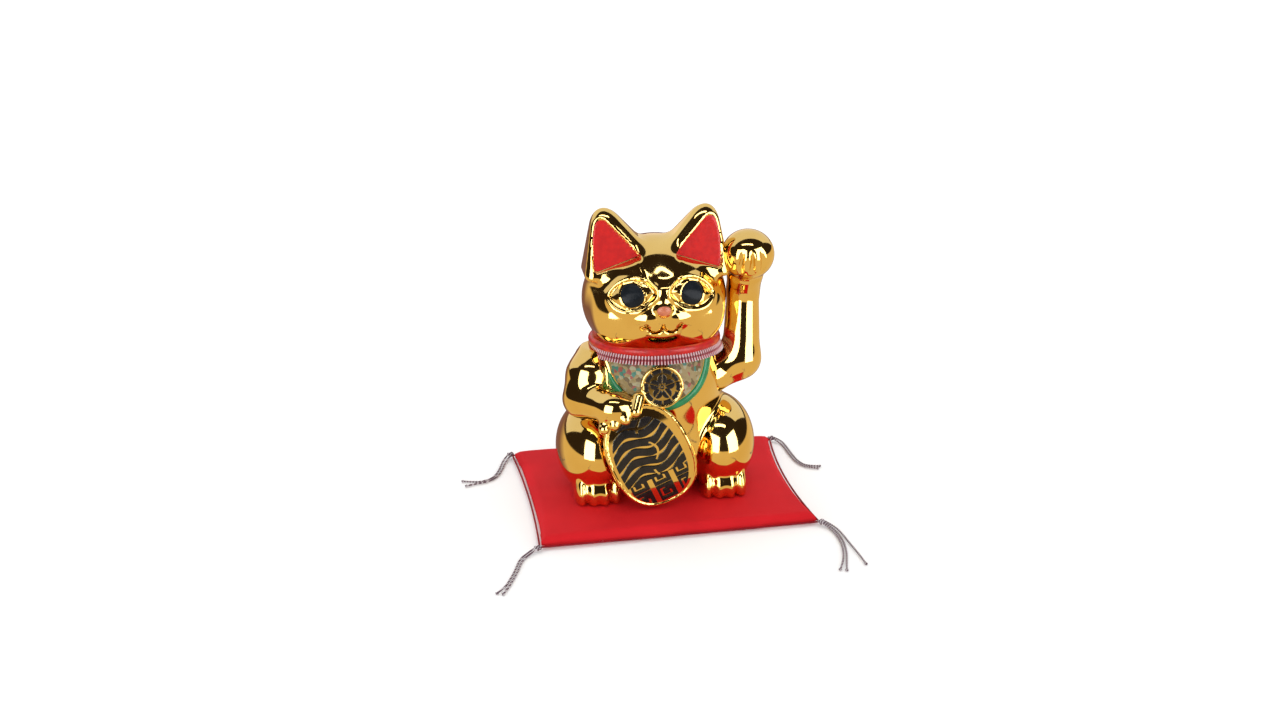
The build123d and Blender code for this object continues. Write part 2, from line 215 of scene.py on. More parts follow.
# ---- the body ------------------------------------------------------------------------------
def toes(p, centres, radii, k):
    """A row of toes, joined side by side with a crease between them."""
    f = None
    for c in centres:
        toe = ellipsoid(p, c, radii)
        f = toe if f is None else smooth_min(f, toe, k)
    return f


def foot(p, x):
    """One foot, centred at x, with its four toes."""
    f = ellipsoid(p, (x, -24, 9), (18.5, 23, 17))
    row = [(x + dx, -35 + abs(dx) * 0.25, 6.5) for dx in (-13.2, -4.4, 4.4, 13.2)]
    return smooth_min(f, toes(p, row, (5.2, 13.5, 15.5), 0.8), 2.0)


def torso(p):
    """Belly, chest, neck, haunches, feet and tail, without the arms."""
    m = [np.abs(p[0]), p[1], p[2]]
    f = smooth_min(ellipsoid(p, (0, 6, 59), (55, 49, 69)), ellipsoid(p, (0, 12, 36), (59, 49, 42)), 14)
    f = smooth_min(f, ellipsoid(p, (0, -6, 93.5), (47, 44, 37)), 16)
    f = smooth_min(f, ellipsoid(p, (0, 2, 117), NECK_R), 14)
    f = smooth_min(f, ellipsoid(m, (49.3, -5, 34.5), (29.5, 43, 37)), 4)
    f = smooth_min(f, foot(p, -49.5), 3)
    f = smooth_min(f, foot(p, 50), 3)
    tail_root = limb(p, (26, 52, 12), (4, 62, 16), 9, 8.5)
    tail = smooth_min(tail_root, limb(p, (4, 62, 16), (-14, 60, 27), 8.5, 6.5), 6)
    return smooth_min(f, tail, 3)


HOLDING_TOES = [(-47.5, -57.5, 70.5), (-40, -60.5, 74.5), (-31.5, -61.5, 79), (-23.5, -60.5, 84.5)]


def holding_arm(p):
    """The arm that comes round to the coin, with the paw's toes over its rim."""
    f = limb(p, (-46, -6, 106), (-53, -16, 98), 18, 17)
    f = smooth_min(f, limb(p, (-53, -16, 98), (-59.5, -24, 83), 17, 14.4), 8)
    f = smooth_min(f, limb(p, (-59.5, -24, 83), (-41, -48, 83.5), 14.2, 12.6), 6)
    f = smooth_min(f, ellipsoid(p, (-36.5, -50, 83.5), (15.5, 13, 12.5)), 5)
    row = None
    for c in HOLDING_TOES:
        toe = limb(p, (c[0] + 3.5, c[1] + 8, c[2] + 8), c, 5.0, 4.4)
        row = toe if row is None else smooth_min(row, toe, 0.8)
    return smooth_min(f, row, 2.5)


def raised_arm(p):
    """The beckoning arm, its paw's four toes parted by three grooves."""
    f = limb(p, (43, -8, 90), (66, 0, 100), 15, 15)
    f = smooth_min(f, limb(p, (68.0, -4, 102), (71, 7, 155), 15.0, 12.4), 10)
    f = smooth_min(f, limb(p, (71, 7, 155), (71, 0, 171), 12.4, 14.5), 4)
    f = smooth_min(f, ellipsoid(p, (71.5, -7, 188.3), (20.5, 20, 19.5)), 3)
    grooves = None
    for dx in (-8.6, 0.0, 8.6):
        top = (71.5 + dx * 0.9, -26.5 + abs(dx) * 0.12, 196)
        low = (71.5 + dx * 1.05, -25.0 + abs(dx) * 0.2, 178.5)
        groove = limb(p, top, low, 1.2, 2.0)
        grooves = groove if grooves is None else np.minimum(grooves, groove)
    return smooth_max(f, -grooves, 1.8)


def coin_frame():
    """Centre, side, up and normal of the coin's back plane."""
    tilt, lean = math.radians(24), math.radians(2)
    normal = np.array([0, -math.cos(lean), math.sin(lean)])
    up = np.array([-math.sin(tilt), math.cos(tilt) * math.sin(lean), math.cos(tilt) * math.cos(lean)])
    return np.array([-11.4, -56.0, 45.2]), np.cross(up, normal), up, normal


def coin_boss(p):
    """The lump that carries the coin in front of the belly."""
    centre, side, up, normal = coin_frame()
    d = [p[i] - centre[i] for i in range(3)]
    a, b, c = (d[0] * v[0] + d[1] * v[1] + d[2] * v[2] for v in (side, up, normal))
    oval = (np.sqrt((a / 23) ** 2 + (b / 33) ** 2) - 1) * 23
    return round_max(oval, np.abs(c + 12) - 12, 3)


def body(p):
    f = torso(p)
    f = smooth_min(f, holding_arm(p), 4)
    f = smooth_min(f, coin_boss(p), 6)
    return round_max(f, -p[2], 2.0)


# ---- meshing -------------------------------------------------------------------------------
def gradient(field, points, h=0.05):
    """Unit normals of a field at points, and how steep it is there."""
    g = np.empty_like(points)
    for i in range(3):
        ahead, behind = points.copy(), points.copy()
        ahead[:, i] += h
        behind[:, i] -= h
        g[:, i] = field(list(ahead.T)) - field(list(behind.T))
    slope = np.linalg.norm(g, axis=1) / (2 * h)
    return g / np.maximum(np.linalg.norm(g, axis=1), 1e-9)[:, None], np.maximum(slope, 0.3)


def settle(field, points, rounds=3):
    """Moves points onto the surface of a field."""
    for _ in range(rounds):
        normal, slope = gradient(field, points)
        value = field(list(points.T))
        points = points - normal * np.clip(value / slope, -1, 1)[:, None]
    return points


FIGURE = (np.zeros(3), np.eye(3))       # origin, and rows that are the axes, of the figure's own frame


def shape(name, field, low, high, pitch, frame_of=FIGURE):
    """A closed smooth mesh of an implicit shape between two corners of a frame on the figure."""
    axes = [np.arange(low[i], high[i], pitch, dtype=np.float32) for i in range(3)]
    p = [axes[0][:, None, None], axes[1][None, :, None], axes[2][None, None, :]]
    values = np.broadcast_to(field(p), [len(a) for a in axes])
    grid = openvdb.FloatGrid()
    grid.background = 3.0
    grid.copyFromArray(np.ascontiguousarray(np.clip(values, -3, 3), dtype=np.float32))
    points, quads = grid.convertToQuads(0.0)
    points = np.asarray(points, float) * pitch + np.array([a[0] for a in axes])
    points = settle(field, points)
    origin, rows = frame_of
    return mesh_piece(name, place(points @ rows + origin), quads[:, ::-1])


def loop(outline, centre, spokes, reach=70.0):
    """Points round an outline, a signed distance in front view, on rays from a centre inside it."""
    angle = np.arange(spokes) * 2 * math.pi / spokes
    near, far = np.zeros(spokes), np.full(spokes, reach)
    for _ in range(24):
        middle = (near + far) / 2
        inside = outline(centre[0] + middle * np.cos(angle), centre[1] + middle * np.sin(angle)) < 0
        near, far = np.where(inside, middle, near), np.where(inside, far, middle)
    return np.stack([centre[0] + near * np.cos(angle), centre[1] + near * np.sin(angle)], 1)


def skin(name, field, outer, inner=None, lift=0.5, rings=14, edge=0.12):
    """A thin layer on a field, between loops seen from the front: it rises from the surface at its edges."""
    spokes = len(outer)
    start = np.broadcast_to(outer.mean(axis=0), outer.shape) if inner is None else inner
    steps = np.linspace(0, 1, rings)
    flat = start[None] + steps[:, None, None] * (outer - start)[None]
    flat = flat.reshape(-1, 2)
    points = np.stack([flat[:, 0], np.full(len(flat), -90.0), flat[:, 1]], 1)
    for _ in range(90):
        points[:, 1] += np.clip(field(list(points.T)), -4, 4) * 0.7
    normal, _ = gradient(field, points)
    near_edge = np.repeat(1 - steps if inner is None else np.minimum(steps, 1 - steps), spokes)
    rise = np.where(near_edge < edge, np.sqrt(np.clip(near_edge / edge, 0, 1)) * (lift + 0.3) - 0.3, lift)
    points = points + normal * rise[:, None]
    faces = []
    for i in range(rings - 1):
        for j in range(spokes):
            k = (j + 1) % spokes
            faces.append((i * spokes + j, i * spokes + k, (i + 1) * spokes + k, (i + 1) * spokes + j))
    return mesh_piece(name, place(points), faces, sharp=60)


def ring(name, sections, closed=True, body_name="figure"):
    """A surface through closed sections, an array (sections, points, 3) in metres, joined end to end."""
    count, around = sections.shape[:2]
    faces = []
    for i in range(count if closed else count - 1):
        a, b = i * around, (i + 1) % count * around
        for j in range(around):
            k = (j + 1) % around
            faces.append((a + j, a + k, b + k, b + j))
    if not closed:
        faces.append(tuple(reversed(range(around))))
        faces.append(tuple(range((count - 1) * around, count * around)))
    return mesh_piece(name, sections.reshape(-1, 3), faces, body_name, sharp=60)


def tube(name, path, radius, closed=True, around=10, body_name="figure"):
    """A round tube along points in metres."""
    ahead, behind = np.roll(path, -1, axis=0), np.roll(path, 1, axis=0)
    if not closed:
        ahead[-1], behind[0] = path[-1], path[0]
    along = ahead - behind
    along /= np.linalg.norm(along, axis=1)[:, None]
    side = np.cross(along, (0.12, 0.07, 1.0))
    side /= np.linalg.norm(side, axis=1)[:, None]
    up = np.cross(side, along)
    angle = np.arange(around) * 2 * math.pi / around
    sections = path[:, None] + radius * (np.cos(angle)[None, :, None] * side[:, None]
                                         + np.sin(angle)[None, :, None] * up[:, None])
    return ring(name, sections, closed, body_name)


def knot(name, centre, radius, body_name="cushion"):
    """An overhand knot: a tube in a trefoil, about a centre in metres."""
    t = np.arange(72) * 2 * math.pi / 72
    lobe = radius * 0.21
    path = np.stack([np.sin(t) + 2 * np.sin(2 * t), np.cos(t) - 2 * np.cos(2 * t), -np.sin(3 * t)], 1) * lobe
    return tube(name, path + np.asarray(centre), radius * 0.30, True, 8, body_name)


def mesh_piece(name, verts, faces, body_name="figure", sharp=35):
    """A mesh object from arrays in metres, smooth-shaded, riding on a body."""
    mesh = bpy.data.meshes.new(name)
    points = [tuple(v) for v in np.asarray(verts, float)]
    mesh.from_pydata(points, [], [tuple(int(i) for i in f) for f in faces])
    mesh.validate()
    mesh.shade_smooth()
    mesh.set_sharp_from_angle(angle=math.radians(sharp))
    piece = bpy.data.objects.new(name, mesh)
    bpy.context.scene.collection.objects.link(piece)
    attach(piece, body_name)
    return piece


# ---- materials -----------------------------------------------------------------------------
def material(name, color, roughness=0.5, metallic=0.0):
    """A material with its principled shader and its node tree."""
    mat = bpy.data.materials.new(name)
    mat.use_nodes = True
    shader = mat.node_tree.nodes["Principled BSDF"]
    shader.inputs["Base Color"].default_value = (*color, 1)
    shader.inputs["Roughness"].default_value = roughness
    shader.inputs["Metallic"].default_value = metallic
    return mat, mat.node_tree, shader


def node(tree, kind, **values):
    """A shader node; values name its properties, or its inputs by name with spaces as _."""
    made = tree.nodes.new(kind)
    for key, value in values.items():
        if hasattr(made, key):
            setattr(made, key, value)
        else:
            made.inputs[key.replace("_", " ")].default_value = value
    return made


def bump(tree, shader, height, strength, distance):
    """Height, a socket, felt by the shader's normal; distance is in metres."""
    relief = node(tree, "ShaderNodeBump", Strength=strength, Distance=distance)
    tree.links.new(height, relief.inputs["Height"])
    tree.links.new(relief.outputs["Normal"], shader.inputs["Normal"])
    return relief


def noise(tree, scale, detail=2.0):
    """The factor of a noise on the object's own coordinates."""
    where = node(tree, "ShaderNodeTexCoord")
    made = node(tree, "ShaderNodeTexNoise", Scale=scale, Detail=detail)
    tree.links.new(where.outputs["Object"], made.inputs["Vector"])
    return made.outputs["Fac"]


def remap(tree, value, low, high, to_low, to_high):
    """A socket's value carried linearly from one range to another, clamped."""
    made = node(tree, "ShaderNodeMapRange")
    for name, number in zip(("From Min", "From Max", "To Min", "To Max"), (low, high, to_low, to_high)):
        made.inputs[name].default_value = number
    tree.links.new(value, made.inputs["Value"])
    return made.outputs["Result"]


def mottle(tree, shader, color, other, scale, detail=3.0):
    """A base colour that drifts between two."""
    mix = node(tree, "ShaderNodeMix", data_type="RGBA")
    mix.inputs["A"].default_value = (*color, 1)
    mix.inputs["B"].default_value = (*other, 1)
    tree.links.new(remap(tree, noise(tree, scale, detail), 0.35, 0.65, 0, 1), mix.inputs["Factor"])
    tree.links.new(mix.outputs["Result"], shader.inputs["Base Color"])
    return mix


def gold_plating():
    """Polished plating over slip-cast glaze: slow waves in the surface and a faint haze."""
    mat, tree, shader = material("gold_plating", (0.86, 0.60, 0.20), 0.07, 1.0)
    mottle(tree, shader, (0.88, 0.62, 0.21), (0.82, 0.55, 0.17), 30.0)
    bump(tree, shader, noise(tree, 38.0, 1.0), 0.07, 0.004)
    tree.links.new(remap(tree, noise(tree, 90.0, 4.0), 0.35, 0.75, 0.05, 0.11), shader.inputs["Roughness"])
    return mat


def enamel(name, color, other, roughness, coat=0.25, specular=0.3):
    """Hand-painted glossy enamel, a little uneven in tone and thickness."""
    mat, tree, shader = material(name, color, roughness)
    mottle(tree, shader, color, other, 220.0)
    shader.inputs["Specular IOR Level"].default_value = specular
    shader.inputs["Coat Weight"].default_value = coat
    shader.inputs["Coat Roughness"].default_value = 0.06
    bump(tree, shader, noise(tree, 260.0, 2.0), 0.12, 0.0006)
    return mat


def brocade():
    """Bib brocade: small patches of gold, green, cream, rose, turquoise and brown."""
    mat, tree, shader = material("bib_brocade", (0.35, 0.42, 0.30), 0.5)
    shader.inputs["Specular IOR Level"].default_value = 0.3
    where = node(tree, "ShaderNodeTexCoord")
    cells = node(tree, "ShaderNodeTexVoronoi", Scale=330.0, Randomness=0.9)
    tree.links.new(where.outputs["Object"], cells.inputs["Vector"])
    hue = node(tree, "ShaderNodeSeparateColor")
    tree.links.new(cells.outputs["Color"], hue.inputs["Color"])
    ramp = node(tree, "ShaderNodeValToRGB")
    ramp.color_ramp.interpolation = "CONSTANT"
    stops = [(0.0, (0.30, 0.22, 0.09)), (0.25, (0.025, 0.12, 0.055)), (0.42, (0.36, 0.33, 0.20)),
             (0.55, (0.30, 0.07, 0.05)), (0.66, (0.05, 0.19, 0.14)), (0.80, (0.14, 0.09, 0.03))]
    elements = list(ramp.color_ramp.elements)
    elements += [ramp.color_ramp.elements.new(position) for position, _ in stops[2:]]
    for (position, color), element in zip(stops, elements):
        element.position = position
        element.color = (*color, 1)
    tree.links.new(hue.outputs["Red"], ramp.inputs[0])
    tree.links.new(ramp.outputs[0], shader.inputs["Base Color"])
    bump(tree, shader, cells.outputs["Distance"], 0.5, 0.0010)
    return mat


def cotton(name, color, other, weave=1500.0):
    """Woven cotton: crossed threads in the bump, soft drifts of tone and shallow creases."""
    mat, tree, shader = material(name, color, 0.85)
    mottle(tree, shader, color, other, 25.0)
    shader.inputs["Specular IOR Level"].default_value = 0.12
    where = node(tree, "ShaderNodeTexCoord")
    total = None
    for direction in ("X", "Y"):
        threads = node(tree, "ShaderNodeTexWave", bands_direction=direction, Scale=weave, Distortion=0.6)
        tree.links.new(where.outputs["Object"], threads.inputs["Vector"])
        if total is None:
            total = threads.outputs["Fac"]
        else:
            both = node(tree, "ShaderNodeMath", operation="ADD")
            tree.links.new(total, both.inputs[0])
            tree.links.new(threads.outputs["Fac"], both.inputs[1])
            total = both.outputs[0]
    fine = bump(tree, shader, total, 0.35, 0.0002)
    creases = node(tree, "ShaderNodeBump", Strength=0.35, Distance=0.004)
    tree.links.new(noise(tree, 28.0, 2.0), creases.inputs["Height"])
    tree.links.new(creases.outputs["Normal"], fine.inputs["Normal"])
    return mat


def twisted_cord():
    """Two-ply tassel cord: a dark purple-grey ply and a white one, wound round each other."""
    mat, tree, shader = material("tassel_cord", (0.2, 0.15, 0.2), 0.7)
    where = node(tree, "ShaderNodeTexCoord")
    split = node(tree, "ShaderNodeSeparateXYZ")
    tree.links.new(where.outputs["Object"], split.inputs[0])
    slant = node(tree, "ShaderNodeMath", operation="SUBTRACT")
    tree.links.new(split.outputs["X"], slant.inputs[0])
    tree.links.new(split.outputs["Y"], slant.inputs[1])
    turns = node(tree, "ShaderNodeMath", operation="MULTIPLY")
    tree.links.new(slant.outputs[0], turns.inputs[0])
    turns.inputs[1].default_value = 2200.0
    ply = node(tree, "ShaderNodeMath", operation="SINE")
    tree.links.new(turns.outputs[0], ply.inputs[0])
    mix = node(tree, "ShaderNodeMix", data_type="RGBA")
    mix.inputs["A"].default_value = (0.105, 0.045, 0.070, 1)
    mix.inputs["B"].default_value = (0.55, 0.50, 0.52, 1)
    tree.links.new(remap(tree, ply.outputs[0], 0.1, 0.5, 0, 1), mix.inputs["Factor"])
    tree.links.new(mix.outputs["Result"], shader.inputs["Base Color"])
    bump(tree, shader, ply.outputs[0], 0.4, 0.0004)
    return mat


def pleated():
    """Frill of the collar: painted shade (dark red) in the folds and painted highlights (silvery pink) on
    the ridges, from the mesh's own per-point values.
    """
    mat, tree, shader = material("collar_pleats", (0.7, 0.5, 0.55), 0.35)
    pleat_shading_and_line_value = node(tree, "ShaderNodeAttribute", attribute_name="pleat")
    # the ramp runs from dark red painted shade deep in the folds, through red, to silvery pink painted
    # highlights on the ridges
    ramp = node(tree, "ShaderNodeValToRGB")
    ramp.color_ramp.elements[0].color = (0.10, 0.012, 0.018, 1)
    ramp.color_ramp.elements[1].color = (0.66, 0.56, 0.58, 1)
    middle = ramp.color_ramp.elements.new(0.45)
    middle.color = (0.46, 0.045, 0.06, 1)
    tree.links.new(pleat_shading_and_line_value.outputs["Fac"], ramp.inputs[0])
    tree.links.new(ramp.outputs[0], shader.inputs["Base Color"])
    bump(tree, shader, noise(tree, 900.0, 2.0), 0.3, 0.0004)
    return mat


GOLD = gold_plating()
BLACK = enamel("black_enamel", (0.008, 0.007, 0.008), (0.016, 0.012, 0.012), 0.25, 0.12)
EYE_BLACK = enamel("eye_enamel", (0.006, 0.009, 0.013), (0.010, 0.013, 0.018), 0.3, 0.02, 0.12)
RED = enamel("red_enamel", (0.66, 0.012, 0.010), (0.55, 0.010, 0.010), 0.25, 0.08)
SALMON = enamel("nose_enamel", (0.62, 0.19, 0.09), (0.52, 0.13, 0.06), 0.35, 0.2)
GREEN = enamel("bib_green", (0.012, 0.26, 0.10), (0.01, 0.19, 0.07), 0.3)
BAND = enamel("collar_red", (0.60, 0.012, 0.012), (0.40, 0.010, 0.010), 0.3, 0.08)
BROCADE = brocade()
PLEATS = pleated()
COTTON = cotton("red_cotton", (0.68, 0.008, 0.015), (0.61, 0.006, 0.012))
PIPING = cotton("seam_cord", (0.30, 0.008, 0.016), (0.20, 0.006, 0.012), 900.0)
TASSEL = twisted_cord()


def dress(piece, mat):
    """Gives a piece its one material."""
    piece.data.materials.clear()
    piece.data.materials.append(mat)


# ---- the tassels: loose strands that lie on the table, knotted at their ends ------------------
LIE = 0.00075                       # height of a strand's centre where it lies
CORD_D = 0.0014
# name: (length in metres, route)
STRANDS = {
    "cord_front_left_1": (0.0744, [
        (-0.1128, -0.0876, 0.003), (-0.119, -0.0908, 0.0012), (-0.1266, -0.1006, LIE),
        (-0.1315, -0.1166, LIE), (-0.1374, -0.1315, LIE), (-0.1426, -0.1434, LIE),
        (-0.149, -0.1502, LIE),
    ]),
    "cord_front_left_2": (0.0726, [
        (-0.1116, -0.0894, 0.0026), (-0.1174, -0.0926, 0.001), (-0.1246, -0.1016, LIE),
        (-0.1294, -0.1174, LIE), (-0.1353, -0.1324, LIE), (-0.1404, -0.1446, LIE),
        (-0.1446, -0.1522, LIE),
    ]),
    "cord_front_right_1": (0.0798, [
        (0.1126, -0.0828, 0.0028), (0.1172, -0.0882, 0.0011), (0.1196, -0.1005, LIE),
        (0.1196, -0.117, LIE), (0.1167, -0.1335, LIE), (0.1128, -0.147, LIE),
        (0.1096, -0.1595, LIE),
    ]),
    "cord_front_right_2": (0.0772, [
        (0.1114, -0.0836, 0.0025), (0.1152, -0.0892, 0.001), (0.1174, -0.1007, LIE),
        (0.1173, -0.1168, LIE), (0.1145, -0.1328, LIE), (0.1102, -0.1463, LIE),
        (0.1052, -0.1575, LIE),
    ]),
    "cord_front_right_3": (0.0736, [
        (0.1136, -0.0812, 0.003), (0.1194, -0.0872, 0.0012), (0.1222, -0.0998, LIE),
        (0.1234, -0.1165, LIE), (0.1254, -0.1346, LIE), (0.1264, -0.152, LIE),
    ]),
    "cord_back_right_1": (0.0709, [
        (0.1123, 0.083, 0.003), (0.1178, 0.0802, 0.0012), (0.1196, 0.0682, LIE),
        (0.1202, 0.0522, LIE), (0.122, 0.036, LIE), (0.127, 0.026, LIE),
        (0.137, 0.0246, LIE),
    ]),
    "cord_back_right_2": (0.0702, [
        (0.1113, 0.0812, 0.0026), (0.1154, 0.0782, 0.001), (0.1174, 0.0672, LIE),
        (0.118, 0.0518, LIE), (0.1198, 0.0352, LIE), (0.1252, 0.0238, LIE),
        (0.1345, 0.0207, LIE),
    ]),
    "cord_back_left_1": (0.0693, [
        (-0.113, 0.087, 0.003), (-0.118, 0.0794, 0.0012), (-0.122, 0.0663, LIE),
        (-0.1276, 0.0512, LIE), (-0.1355, 0.0436, LIE), (-0.1445, 0.042, LIE),
        (-0.1545, 0.046, LIE),
    ]),
    "cord_back_left_2": (0.0694, [
        (-0.111, 0.0856, 0.0026), (-0.1158, 0.0783, 0.001), (-0.1198, 0.0652, LIE),
        (-0.1255, 0.05, LIE), (-0.1346, 0.0414, LIE), (-0.1436, 0.0397, LIE),
        (-0.1525, 0.0365, LIE),
    ]),
}


def strand(name, route):
    """One strand of a tassel, with the knot at its end."""
    curve = bpy.data.curves.new(name, "CURVE")
    curve.dimensions = "3D"
    spline = curve.splines.new("NURBS")
    spline.points.add(len(route) - 1)
    for point, at in zip(spline.points, route):
        point.co = (*at, 1)
        point.radius = CORD_D / 2
    spline.order_u = 3
    spline.use_endpoint_u = True
    spline.resolution_u = 12
    curve.bevel_depth = 1.0                          # times each point's own radius
    curve.bevel_resolution = 3
    curve.use_fill_caps = True
    cord = bpy.data.objects.new(name, curve)
    bpy.context.scene.collection.objects.link(cord)
    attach(cord, "cushion")
    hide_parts(name)
    dress(cord, TASSEL)
    tip = knot(name.replace("cord", "tip"), route[-1], 0.0015)
    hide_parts("tip_knots")
    dress(tip, TASSEL)


for strand_name, (strand_length, strand_route) in STRANDS.items():
    strand(strand_name, strand_route)

for corner in ("front_left", "front_right", "back_right", "back_left"):
    node_name = f"corner_knot_{corner}"
    tie = knot(f"tie_{corner}", centre_of(node_name), 0.0034)
    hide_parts(node_name)
    dress(tie, TASSEL)

# ---- the cushion ------------------------------------------------------------------------------
CORNERS = np.array([(-109.5, -86), (109.5, -80), (108.5, 81), (-109.5, 86)], float)
SIDE_BOWS = [0.8, -6.0, 2.0, -3.0]  # how far each side bows out: front, right, back, left
CUSHION_T, SEAM_Z = 8.9, 2.4


def side_point(i, t):
    """Points along a side of the cushion, t from 0 at its first corner to 1."""
    a, b = CORNERS[i], CORNERS[(i + 1) % 4]
    along = (b - a) / np.linalg.norm(b - a)
    outwards = np.array([along[1], -along[0]])
    return a + (b - a) * t[..., None] + outwards * (SIDE_BOWS[i] * 4 * t * (1 - t))[..., None]


def cushion_plan(u, v):
    """The patch between the four bowed sides; u runs to the right, v to the back."""
    low, high = side_point(0, u), side_point(2, 1 - u)
    left, right = side_point(3, 1 - v), side_point(1, v)
    u, v = u[..., None], v[..., None]
    corners = (CORNERS[0] * (1 - u) * (1 - v) + CORNERS[1] * u * (1 - v) + CORNERS[2] * u * v
               + CORNERS[3] * (1 - u) * v)
    return low * (1 - v) + high * v + left * (1 - u) + right * u - corners


def cushion():
    """A thin filled cushion, swelled by a cloth simulation and flat where it rests."""
    steps = 0.5 - 0.5 * np.cos(np.linspace(0, math.pi, 72))
    u, v = np.meshgrid(steps, steps, indexing="ij")
    plan = cushion_plan(u, v) * 0.996
    edge = np.minimum(np.minimum(u, 1 - u) * 219, np.minimum(v, 1 - v) * 169)
    rise = np.sqrt(1 - (1 - np.clip(edge / 9.0, 0, 1)) ** 2)
    crown = np.sqrt(1 - (1 - np.clip(edge / 30.0, 0, 1)) ** 2)
    top = SEAM_Z + (CUSHION_T - 0.4 - SEAM_Z) * (0.65 * rise + 0.35 * crown)
    bottom = SEAM_Z - (SEAM_Z - 0.3) * rise
    n = len(steps)
    verts = np.concatenate([np.dstack([plan, top]).reshape(-1, 3), np.dstack([plan, bottom]).reshape(-1, 3)])
    faces = []
    for i in range(n - 1):
        for j in range(n - 1):
            a = i * n + j
            faces.append((a, a + n, a + n + 1, a + 1))
            faces.append((a + n * n, a + 1 + n * n, a + n + 1 + n * n, a + n + n * n))
    piece = mesh_piece("cushion", verts * MM, faces, "cushion", sharp=80)
    bpy.context.view_layer.objects.active = piece
    weld = piece.modifiers.new("weld", "WELD")
    weld.merge_threshold = 0.0002
    bpy.ops.object.modifier_apply(modifier=weld.name)
    swell(piece)
    piece.data.shade_smooth()
    return piece


MAY_MOVE = 1.6                      # mm that the simulation may move a point


def swell(piece):
    """Fills the cushion with air for twenty frames, and keeps a capped part of each point's move."""
    remesh = piece.modifiers.new("remesh", "REMESH")
    remesh.voxel_size = 0.0022
    bpy.ops.object.modifier_apply(modifier=remesh.name)
    start = np.array([v.co[:] for v in piece.data.vertices])
    cloth = piece.modifiers.new("cloth", "CLOTH")
    cloth.settings.use_pressure = True
    cloth.settings.uniform_pressure_force = 4
    cloth.settings.effector_weights.gravity = 0
    for frame_number in range(1, 21):
        bpy.context.scene.frame_set(frame_number)
    bpy.ops.object.modifier_apply(modifier=cloth.name)
    bpy.context.scene.frame_set(1)
    moved = np.array([v.co[:] for v in piece.data.vertices]) - start
    far = np.linalg.norm(moved, axis=1)[:, None]
    settled = start + moved * np.minimum(1, MAY_MOVE * MM / np.maximum(far, 1e-9))
    settled[:, 2] = np.clip(settled[:, 2], 0.0002, CUSHION_T * MM)
    for vertex, at in zip(piece.data.vertices, settled):
        vertex.co = at


pillow = cushion()
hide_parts("cushion_cover_top", "cushion_cover_bottom", "cushion_wadding")
dress(pillow, COTTON)

seam_steps = np.linspace(0, 1, 60, endpoint=False)
seam = np.concatenate([side_point(i, seam_steps) for i in range(4)])
seam = np.column_stack([seam * 0.998, np.full(len(seam), SEAM_Z)]) * MM
piping = tube("piping", seam, 0.0007, True, 10, "cushion")
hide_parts("seam_piping")
dress(piping, PIPING)

# ---- the cat --------------------------------------------------------------------------------
PITCH = 1.0
COLLAR_Z = 118.3                    # the head and the body meet inside the collar

cat_head = shape("cat_head", lambda p: smooth_max(head(p), COLLAR_Z - p[2], 0.5),
                 (-64, -60, 112), (64, 56, 236), PITCH)
cat_body = shape("cat_body", lambda p: smooth_max(body(p), p[2] - COLLAR_Z - 1, 0.5),
                 (-86, -74, -4), (86, 78, 124), PITCH * 1.2)
cat_arm = shape("cat_raised_arm", raised_arm, (24, -44, 74), (98, 24, 214), PITCH)
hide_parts("figure_shell")
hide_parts("figure_shell")
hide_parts("raised_arm")
for piece in (cat_head, cat_body, cat_arm):
    dress(piece, GOLD)


def face_place(v):
    """Height on the figure of a height in the head's own numbers."""
    return v - HEAD_SINK


for name, side in (("left", -1), ("right", 1)):
    lining_loop = loop(lambda x, z: ear_lining_outline(side * x, z + HEAD_SINK) + 0.3,
                       (side * 37, face_place(201)), 72)
    lining = skin(f"{name}_ear_enamel", head, lining_loop, lift=0.35, rings=18)
    eye_loop = loop(lambda x, z: smooth_max(np.hypot(side * x - EYE[0], z + HEAD_SINK - EYE[1]) - EYE_R,
                                            almond(side * x - EYE[0], z + HEAD_SINK - EYE[1]) + 0.5, 0.5),
                    (side * EYE[0], face_place(EYE[1])), 64)
    eye = skin(f"{name}_eye_enamel", head, eye_loop, lift=0.3, rings=12)
    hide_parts(f"{name}_ear_lining")
    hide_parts(f"{name}_eye")
    dress(lining, RED)
    dress(eye, EYE_BLACK)

nose_loop = loop(lambda x, z: ellipsoid([x, 0 * x, z], (0, 0, face_place(164.8)), (5.9, 9, 4.0)),
                 (0, face_place(164.8)), 48)
nose = skin("nose_enamel", head, nose_loop, lift=0.3, rings=10)
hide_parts("nose")
dress(nose, SALMON)

# ---- bib, collar ------------------------------------------------------------------------------
BIB_CENTRE, BIB_R, BIB_BORDER = (-3.5, 118.0), (44.0, 40.0), 6.5


def bib_outline(inset):
    """The bib in front view: half an oval below the collar."""
    rx, rz = BIB_R[0] - inset, BIB_R[1] - inset
    return lambda x, z: np.maximum((np.hypot((x - BIB_CENTRE[0]) / rx, (z - BIB_CENTRE[1]) / rz) - 1) * rz,
                                   z - 118.5)


bib_outer = loop(bib_outline(0), (-4.5, 105), 120)
bib_inner = loop(bib_outline(BIB_BORDER), (-4.5, 105), 120)
border = skin("bib_edge", torso, bib_outer, bib_inner, lift=1.5, rings=9, edge=0.3)
panel = skin("bib_cloth", torso, bib_inner, lift=1.1, rings=20, edge=0.04)
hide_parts("bib_border")
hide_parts("bib_panel")
dress(border, GREEN)
dress(panel, BROCADE)

COLLAR_RISE = math.radians(5)       # the collar rises towards the front


def collar_sections(count, profile):
    """Sections round the neck; profile gives outward reach and height arrays for each angle."""
    sections = []
    for angle in np.arange(count) * 2 * math.pi / count:
        out, up = profile(angle)
        x = (48.0 + out) * math.cos(angle)
        y = (44.5 + out) * math.sin(angle)
        z = COLLAR_Z + up - y * math.sin(COLLAR_RISE)
        sections.append(place(np.column_stack([x, y, z])))
    return np.array(sections)


section_turn = np.arange(14) * 2 * math.pi / 14


